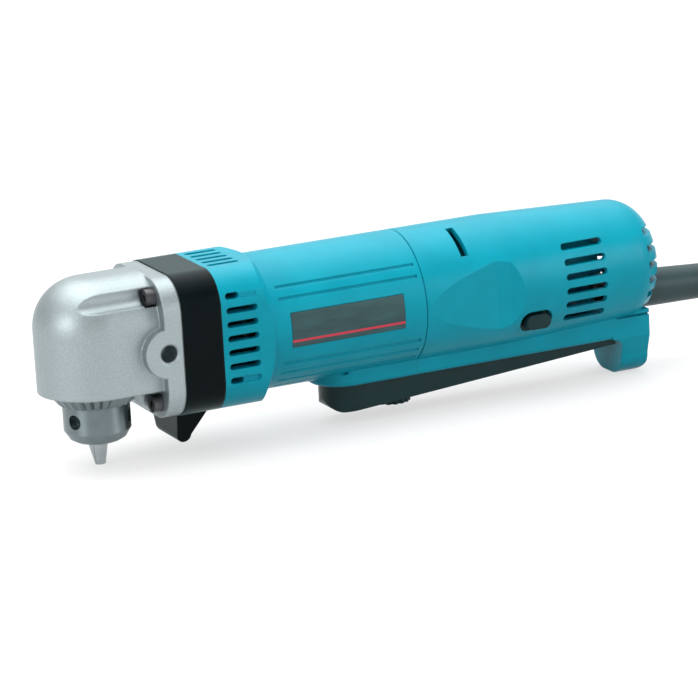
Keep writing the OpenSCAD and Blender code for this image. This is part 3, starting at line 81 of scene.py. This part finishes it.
# Guard and folded cord, in millimetres, as the part's source has them
CORD_D = 6.4
CORD_SPACE = 0.55
BAND_T = 1.0
BAND_GAP = 0.5
BAND_LIFT = 0.1
GUARD_LEN = 52.0
GUARD_DROOP = 2.4
GUARD_Z = 33.5
GUARD_INSET = 10.0
HANK_RUN = 98.0
HANK_WAIST = 9.0
HANK_AWAY = 74.0
HANK_NEAR_Y = -25.0
LAYER_STEP = CORD_D + CORD_SPACE
HANK_STEP = LAYER_STEP + 0.6
HANK_IN_R = 3 * CORD_D

# Loops after which the hank changes between winding in and winding out, and loops in all
HANK_TURNS = (1.625, 3.125, 4.625)
HANK_END = 6.5

# Lead, as shares of the way from the guard to the hank, and tail, as steps from where the hank ends
LEAD_SHARES = (
    (0, 0, 0), (0.1, 0, 0.01), (0.2, 0.02, 0.06), (0.3, 0.1, 0.17), (0.42, 0.28, 0.37),
    (0.54, 0.52, 0.6), (0.66, 0.75, 0.81), (0.78, 0.91, 0.94), (0.9, 1, 1), (1, 1, 1))
TAIL_STEPS = (
    (0, 0, 0), (-7, 0, 0), (-20, 0, 2), (-33, -1.5, 6.5),
    (-46, -6, 10.5), (-58, -10.5, 12), (-70, -13, 12.3), (-80, -13, 12.3))

# Points of the drawn cord for each loop of the hank, and for each stretch of lead and tail
LOOP_POINTS = 48
STRETCH_POINTS = 4

# Nodes that look a little different from the rest of their material slot
OWN_LOOKS = {
    "collar": "collar",
    "lock_button": "lock",
    # The jaws' lighter steel is partly painted light: it stands in for a bright reflection from below
    "jaw_1": "jaw",
    "jaw_2": "jaw",
    "jaw_3": "jaw",
}

# Least angle, in degrees, between faces whose edge stays crisp
CRISP_ANGLE = 30

# Thin stripe on the blank name plate: shares of the plate's height where it starts and ends
STRIPE = (0.145, 0.215)
STRIPE_COLOUR = (0.62, 0.03, 0.06)

# A Mix node's colour sockets have the same names as its other ones, so they are taken by number
MIX_A, MIX_B, MIX_RESULT = 6, 7, 2

# Turns the drawn-out reflections of turned steel from round its axis to along it
QUARTER_TURN = 0.25

# Surround: the way it is brightest, up and a little to the back, its strength there,
# and (cosine of the angle to that way, share of the strength)
SKY_WAY = (0.0, 0.25, 0.968)
SKY_STRENGTH = 3.3
SKY = ((0.0, 0.025), (0.5, 0.06), (0.8, 0.4), (0.95, 1.0))

# Floor paper: its tone and roughness, the glow that makes it white to the eye, how far it lies below the part,
# and (radius, height) of the rings where it turns up all round, in metres
FLOOR_TONE = 0.37
FLOOR_ROUGH = 0.85
FLOOR_GLOW = 0.62
FLOOR_GAP = 0.0001
SWEEP = ((4.5, 0.0), (5.2, 0.1), (5.7, 0.5), (5.9, 1.2), (6.0, 3.4))
SWEEP_SIDES = 64

# Square lamps: name, place, aim and side in metres, power in watts
LAMPS = (
    ("key", (-0.30, -0.50, 1.25), (0, 0, 0.04), 0.95, 2.5),
    ("left", (-1.2, -0.35, 0.5), (-0.1, 0, 0.04), 0.6, 5),
    ("right", (0.9, -0.9, 0.45), (0, 0, 0.04), 0.6, 4.5),
    ("back", (0.25, 0.8, 1.0), (0.02, 0, 0.05), 1.2, 3),
)


def spindle_x():
    """Place of the spindle axis along the tool, from the frame."""
    low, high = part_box("chuck_sleeve")
    return (low.x + high.x) / 2


def make_camera():
    """The photo's camera, with ahead, right and up as its axes."""
    turn, rise, roll = (math.radians(v) for v in (VIEW_TURN, VIEW_RISE, VIEW_ROLL))
    ahead = Vector((math.sin(turn) * math.cos(rise), math.cos(turn) * math.cos(rise), -math.sin(rise)))
    level = Vector((math.cos(turn), -math.sin(turn), 0))
    upright = level.cross(ahead)
    right = level * math.cos(roll) - upright * math.sin(roll)
    up = level * math.sin(roll) + upright * math.cos(roll)
    place = -(VIEW_AIM[0] * right + VIEW_AIM[1] * up + VIEW_DISTANCE * ahead) * MM
    place.x += spindle_x()
    data = bpy.data.cameras.new("camera")
    data.sensor_width = SENSOR
    data.lens = PHOTO_FOCAL * SENSOR / PHOTO_SIDE
    data.clip_end = CLIP_END
    camera = bpy.data.objects.new("camera", data)
    camera.matrix_world = Matrix((
        (right.x, up.x, -ahead.x, place.x),
        (right.y, up.y, -ahead.y, place.y),
        (right.z, up.z, -ahead.z, place.z),
        (0, 0, 0, 1)))
    bpy.context.scene.collection.objects.link(camera)
    bpy.context.scene.camera = camera


def ease(x):
    """Smooth step from 0 to 1 as x goes from 0 to 1."""
    c = min(max(x, 0), 1)
    return c * c * (3 - 2 * c)


def hank_wave(t):
    """How many steps outside the innermost loop the cord lies after t loops."""
    first, second, third = HANK_TURNS
    if t < first:
        return first - t
    if t < second:
        return t - first
    if t < third:
        return second - first - (t - second)
    return t - third


def hank_run_and_angle(u):
    """Share of the straight run and angle of the round end, at share u of a loop: run, end, run, end."""
    if u < 0.25:
        return 4 * u, -90
    if u < 0.5:
        return 1, 720 * u - 270
    if u < 0.75:
        return 3 - 4 * u, 90
    return 0, 720 * u - 450


def hank_point(t, corner):
    """Point of the folded cord after t loops; corner is the start of the runs, on the hank's middle line.

    Each change of winding lifts the cord by one layer, over a quarter of a loop.
    """
    radius = HANK_IN_R + HANK_STEP * hank_wave(t)
    along, angle = hank_run_and_angle(t - math.floor(t))
    waist = HANK_WAIST * math.sin(math.pi * along) ** 2
    turn = math.radians(angle)
    layer = sum(ease((t - turn_at) * 4 + 0.5) for turn_at in HANK_TURNS)
    return Vector((
        corner.x + along * HANK_RUN + radius * math.cos(turn),
        corner.y + (radius - waist) * math.sin(turn),
        corner.z + LAYER_STEP * layer))


def smooth_through(points, parts):
    """Points on a smooth line through the given ones, which keeps the way of its first and last stretch."""
    line = [2 * points[0] - points[1], *points, 2 * points[-1] - points[-2]]
    out = []
    for a, b, c, d in zip(line, line[1:], line[2:], line[3:]):
        for k in range(parts):
            s = k / parts
            out.append(0.5 * (2 * b + (c - a) * s + (2 * a - 5 * b + 4 * c - d) * s * s
                              + (3 * b - a - 3 * c + d) * s * s * s))
    return out + [points[-1]]


def cord_route():
    """Guard tip and whole route of the cord, in millimetres."""
    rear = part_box("handle_left")[1].x / MM
    droop = math.radians(GUARD_DROOP)
    reach = GUARD_LEN + GUARD_INSET
    tip = Vector((rear - GUARD_INSET + reach * math.cos(droop), 0, GUARD_Z - reach * math.sin(droop)))
    corner = Vector((
        tip.x + HANK_AWAY,
        HANK_IN_R + HANK_STEP * HANK_TURNS[0] + HANK_NEAR_Y,
        CORD_D / 2 + BAND_T + BAND_GAP + BAND_LIFT))
    straight = Vector((CORD_D, 0, 0))
    hank = [hank_point(i / LOOP_POINTS, corner) for i in range(int(HANK_END * LOOP_POINTS) + 1)]
    first, last = hank[0] - straight, hank[-1] - straight
    way = first - tip
    lead = [tip + Vector((x * way.x, y * way.y, z * way.z)) for x, y, z in LEAD_SHARES]
    tail = [last + Vector(step) for step in TAIL_STEPS]
    lead_line, tail_line = (smooth_through(line, STRETCH_POINTS) for line in (lead, tail))
    return tip, [*lead_line[:-1], first, *hank, last, *tail_line[1:]]


def line_length(points):
    """Length of a line through the points."""
    return sum((b - a).length for a, b in zip(points, points[1:]))


def make_cord(material):
    """The cord as one smooth tube; gives the tube, the place where it leaves the guard, and its length."""
    tip, route = cord_route()
    data = bpy.data.curves.new("cord", "CURVE")
    data.dimensions = "3D"
    data.bevel_depth = CORD_D / 2 * MM
    data.bevel_resolution = 4
    data.use_fill_caps = True
    spline = data.splines.new("POLY")
    spline.points.add(len(route) - 1)
    for point, place in zip(spline.points, route):
        point.co = (*(place * MM), 1)
    spline.use_smooth = True
    data.materials.append(material)
    cord = bpy.data.objects.new("cord", data)
    bpy.context.scene.collection.objects.link(cord)
    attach(cord, "frame")
    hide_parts("cord_lead", "cord_coil", "cord_tail")
    return cord, tip * MM, line_length(route) * MM


class Look:
    """A procedural material: a shader to which short calls add noise, bump, rounded edges and sheen.

    Scales are in cells per metre, depths and radii in metres.
    """

    def __init__(self, name, colour, metal=0.0, specular=0.5):
        self.material = bpy.data.materials.new(name)
        self.material.use_nodes = True
        self.tree = self.material.node_tree
        self.shader = self.tree.nodes["Principled BSDF"]
        self.colour = colour
        self.set("Base Color", (*colour, 1))
        self.set("Metallic", metal)
        self.set("Specular IOR Level", specular)
        self.normal = None
        self.place = self.node("ShaderNodeTexCoord").outputs["Object"]

    def node(self, kind):
        return self.tree.nodes.new(kind)

    def link(self, out, into):
        self.tree.links.new(out, into)

    def set(self, socket, value):
        self.shader.inputs[socket].default_value = value

    def noise(self, scale, detail, stretch=None):
        """A noise pattern, stretched along the axes if asked."""
        pattern = self.node("ShaderNodeTexNoise")
        pattern.inputs["Scale"].default_value = scale
        pattern.inputs["Detail"].default_value = detail
        place = self.place
        if stretch:
            mapping = self.node("ShaderNodeMapping")
            mapping.inputs["Scale"].default_value = stretch
            self.link(place, mapping.inputs["Vector"])
            place = mapping.outputs["Vector"]
        self.link(place, pattern.inputs["Vector"])
        return pattern.outputs["Fac"]

    def vary_colour(self, scale, amount, stretch=None):
        """Lets the colour drift between a little darker and a little lighter."""
        ramp = self.node("ShaderNodeValToRGB")
        for stop, at, change in zip(ramp.color_ramp.elements, (0.35, 0.65), (-amount, amount)):
            stop.position = at
            stop.color = (*(min(1, c * (1 + change)) for c in self.colour), 1)
        self.link(self.noise(scale, 3, stretch), ramp.inputs["Fac"])
        self.link(ramp.outputs["Color"], self.shader.inputs["Base Color"])
        return self

    def vary_rough(self, scale, low, high, stretch=None):
        """Lets the roughness drift between low and high."""
        spread = self.node("ShaderNodeMapRange")
        spread.inputs["To Min"].default_value = low
        spread.inputs["To Max"].default_value = high
        self.link(self.noise(scale, 3, stretch), spread.inputs["Value"])
        self.link(spread.outputs["Result"], self.shader.inputs["Roughness"])
        return self

    def round_edges(self, radius):
        """Softens the look of sharp edges."""
        edge = self.node("ShaderNodeBevel")
        edge.samples = 4
        edge.inputs["Radius"].default_value = radius
        self.normal = edge.outputs["Normal"]
        self.link(self.normal, self.shader.inputs["Normal"])
        return self

    def grain(self, scale, depth, stretch=None):
        """Raises a fine grain."""
        bump = self.node("ShaderNodeBump")
        bump.inputs["Strength"].default_value = 1.0
        bump.inputs["Distance"].default_value = depth
        self.link(self.noise(scale, 2, stretch), bump.inputs["Height"])
        if self.normal:
            self.link(self.normal, bump.inputs["Normal"])
        self.normal = bump.outputs["Normal"]
        self.link(self.normal, self.shader.inputs["Normal"])
        return self

    def turned(self, amount):
        """Draws reflections out along the upright axis, as fine tool marks round that axis do."""
        marks = self.node("ShaderNodeTangent")
        marks.direction_type = "RADIAL"
        marks.axis = "Z"
        self.set("Anisotropic", amount)
        self.set("Anisotropic Rotation", QUARTER_TURN)
        self.link(marks.outputs["Tangent"], self.shader.inputs["Tangent"])
        return self

    def handled(self, amount, tint):
        """Adds the soft sheen that much handled plastic shows where it is seen edge on."""
        self.set("Sheen Weight", amount)
        self.set("Sheen Roughness", 0.35)
        self.set("Sheen Tint", (*tint, 1))
        return self

    def striped(self):
        """Lays a thin stripe along the lower edge of the name plate."""
        low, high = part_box("name_plate")
        parts = self.node("ShaderNodeSeparateXYZ")
        self.link(self.place, parts.inputs["Vector"])
        inside = self.node("ShaderNodeMath")
        inside.operation = "MULTIPLY"
        for share, test, into in zip(STRIPE, ("GREATER_THAN", "LESS_THAN"), inside.inputs):
            edge = self.node("ShaderNodeMath")
            edge.operation = test
            edge.inputs[1].default_value = low.z + share * (high.z - low.z)
            self.link(parts.outputs["Z"], edge.inputs[0])
            self.link(edge.outputs[0], into)
        base = self.shader.inputs["Base Color"]
        mix = self.node("ShaderNodeMix")
        mix.data_type = "RGBA"
        mix.inputs[MIX_B].default_value = (*STRIPE_COLOUR, 1)
        self.link(inside.outputs[0], mix.inputs["Factor"])
        self.link(base.links[0].from_socket, mix.inputs[MIX_A])
        self.link(mix.outputs[MIX_RESULT], base)
        return self


def make_looks():
    """Materials by the name of their slot, or of the look that a node has for itself."""
    looks = {
        "housing": Look("housing_plastic", (0.0, 0.355, 0.475), specular=0.16)
            .round_edges(0.0006).vary_colour(60, 0.05).vary_rough(900, 0.26, 0.38).grain(2600, 0.00002),
        "black_plastic": Look("black_plastic", (0.006, 0.031, 0.034), specular=0.2)
            .round_edges(0.0006).vary_colour(80, 0.15).vary_rough(700, 0.30, 0.44).grain(2200, 0.00003),
        "collar": Look("collar_plastic", (0.001, 0.004, 0.005), specular=0.06)
            .round_edges(0.0012).vary_colour(80, 0.2).vary_rough(700, 0.24, 0.38).grain(2200, 0.00003)
            .handled(0.45, (0.55, 0.9, 0.92)),
        "lock": Look("lock_plastic", (0.006, 0.028, 0.03), specular=0.2)
            .round_edges(0.0008).vary_colour(90, 0.12).vary_rough(700, 0.4, 0.52).grain(2000, 0.00003),
        "cast_alloy": Look("cast_alloy", (0.335, 0.39, 0.403), metal=0.9)
            .round_edges(0.0012).vary_colour(1400, 0.07).vary_rough(900, 0.38, 0.5).grain(2600, 0.00006),
        "chuck_steel": Look("chuck_steel", (0.18, 0.22, 0.23), metal=1.0)
            .round_edges(0.0004).vary_colour(150, 0.06).vary_rough(300, 0.32, 0.4, (1, 1, 12))
            .grain(400, 0.00001, (1, 1, 14)).turned(0.9),
        # Jaws: a lighter steel than the chuck's body, partly for a polished finish and partly as painted light
        # that stands in for a bright reflection from below
        "jaw": Look("jaw_steel", (0.36, 0.4, 0.41), metal=1.0)
            .round_edges(0.0003).vary_colour(150, 0.06).vary_rough(300, 0.26, 0.34).grain(600, 0.00001),
        "steel": Look("ground_steel", (0.5, 0.5, 0.51), metal=1.0)
            .round_edges(0.0002).vary_colour(150, 0.08).vary_rough(400, 0.24, 0.38).grain(900, 0.00001),
        "dark_steel": Look("dark_steel", (0.10, 0.10, 0.105), metal=1.0)
            .round_edges(0.0003).vary_colour(200, 0.15).vary_rough(500, 0.32, 0.5).grain(1200, 0.00001),
        "copper": Look("copper", (0.72, 0.33, 0.17), metal=1.0)
            .vary_colour(300, 0.12).vary_rough(500, 0.28, 0.45).grain(600, 0.00004, (1, 6, 6)),
        "brass": Look("brass", (0.72, 0.54, 0.24), metal=1.0)
            .round_edges(0.0002).vary_colour(200, 0.08).vary_rough(500, 0.24, 0.4).grain(900, 0.00001),
        "carbon": Look("carbon", (0.03, 0.03, 0.032))
            .vary_colour(600, 0.3).vary_rough(700, 0.5, 0.7).grain(1800, 0.00003),
        "cord_rubber": Look("cord_rubber", (0.03, 0.06, 0.064), specular=0.3)
            .vary_colour(90, 0.12).vary_rough(400, 0.36, 0.52).grain(1600, 0.00002),
        "badge": Look("name_plate", (0.024, 0.075, 0.08), metal=0.3)
            .round_edges(0.0002).vary_colour(70, 0.2, (1, 4, 4)).vary_rough(500, 0.3, 0.42, (1, 9, 9))
            .grain(900, 0.000008, (0.2, 6, 6)).striped(),
        "band": Look("woven_band", (0.02, 0.02, 0.022))
            .vary_colour(900, 0.4).vary_rough(700, 0.7, 0.9).grain(1500, 0.00015),
    }
    return {name: look.material for name, look in looks.items()}


def dress_nodes(looks):
    """Gives each CAD node its own look or that of its material slot, and smooth shading with crisp edges."""
    for part in frame["record"]["subparts"]:
        mesh = nodes[part["node"]].data
        mesh.materials.clear()
        mesh.materials.append(looks[OWN_LOOKS.get(part["node"], part["material_slot"])])
        mesh.polygons.foreach_set("use_smooth", [True] * len(mesh.polygons))
        mesh.set_sharp_from_angle(angle=math.radians(CRISP_ANGLE))


def floor_material():
    """Paper with a glow that only the eye, mirrors and glass see, so that it adds no light to the part."""
    look = Look("floor_paper", (FLOOR_TONE, FLOOR_TONE, FLOOR_TONE), specular=0.1).vary_colour(30, 0.01)
    look.set("Roughness", FLOOR_ROUGH)
    rays = look.node("ShaderNodeLightPath")
    shown = rays.outputs["Is Camera Ray"]
    for kind in ("Is Glossy Ray", "Is Transmission Ray"):
        either = look.node("ShaderNodeMath")
        either.operation = "MAXIMUM"
        look.link(shown, either.inputs[0])
        look.link(rays.outputs[kind], either.inputs[1])
        shown = either.outputs[0]
    paper = look.shader.outputs[0]
    glow = look.node("ShaderNodeEmission")
    glow.inputs["Strength"].default_value = FLOOR_GLOW
    lit = look.node("ShaderNodeAddShader")
    look.link(paper, lit.inputs[0])
    look.link(glow.outputs[0], lit.inputs[1])
    seen = look.node("ShaderNodeMixShader")
    look.link(shown, seen.inputs["Fac"])
    look.link(paper, seen.inputs[1])
    look.link(lit.outputs[0], seen.inputs[2])
    look.link(seen.outputs[0], look.tree.nodes["Material Output"].inputs["Surface"])
    return look.material


def make_floor():
    """A round paper sweep: flat under the part, and turned up at its far edge."""
    turn = 2 * math.pi / SWEEP_SIDES
    points = [(radius * math.cos(k * turn), radius * math.sin(k * turn), height)
              for radius, height in SWEEP for k in range(SWEEP_SIDES)]
    faces = [tuple(range(SWEEP_SIDES))]
    for ring in range(len(SWEEP) - 1):
        low, high = ring * SWEEP_SIDES, (ring + 1) * SWEEP_SIDES
        for k in range(SWEEP_SIDES):
            after = (k + 1) % SWEEP_SIDES
            faces.append((low + after, low + k, high + k, high + after))
    mesh = bpy.data.meshes.new("floor")
    mesh.from_pydata(points, [], faces)
    mesh.polygons.foreach_set("use_smooth", [True] * len(mesh.polygons))
    mesh.materials.append(floor_material())
    floor = bpy.data.objects.new("floor", mesh)
    floor.location.z = cad_low.z - FLOOR_GAP
    bpy.context.scene.collection.objects.link(floor)


def make_world():
    """A surround that is bright above and a little behind, and dim in front."""
    world = bpy.data.worlds.new("surround")
    world.use_nodes = True
    tree = world.node_tree
    place = tree.nodes.new("ShaderNodeTexCoord")
    nearness = tree.nodes.new("ShaderNodeVectorMath")
    nearness.operation = "DOT_PRODUCT"
    nearness.inputs[1].default_value = SKY_WAY
    sky = tree.nodes.new("ShaderNodeValToRGB")
    stops = sky.color_ramp.elements
    while len(stops) < len(SKY):
        stops.new(1)
    for stop, (at, share) in zip(stops, SKY):
        stop.position = at
        stop.color = (share, share, share, 1)
    light = tree.nodes["Background"]
    light.inputs["Strength"].default_value = SKY_STRENGTH
    tree.links.new(place.outputs["Generated"], nearness.inputs[0])
    tree.links.new(nearness.outputs["Value"], sky.inputs["Fac"])
    tree.links.new(sky.outputs["Color"], light.inputs["Color"])
    bpy.context.scene.world = world


def make_lamp(name, place, aim, side, power):
    """A square lamp at a place, turned to its aim."""
    data = bpy.data.lights.new(name, "AREA")
    data.shape = "SQUARE"
    data.size = side
    data.energy = power
    lamp = bpy.data.objects.new(name, data)
    lamp.location = place
    lamp.rotation_mode = "QUATERNION"
    lamp.rotation_quaternion = (Vector(aim) - Vector(place)).to_track_quat("-Z", "Y")
    bpy.context.scene.collection.objects.link(lamp)


make_camera()
looks = make_looks()
cord, cord_exit, cord_length = make_cord(looks["cord_rubber"])
dress_nodes(looks)
make_floor()
make_world()
for lamp in LAMPS:
    make_lamp(*lamp)

bpy.context.scene.view_settings.view_transform = "Standard"
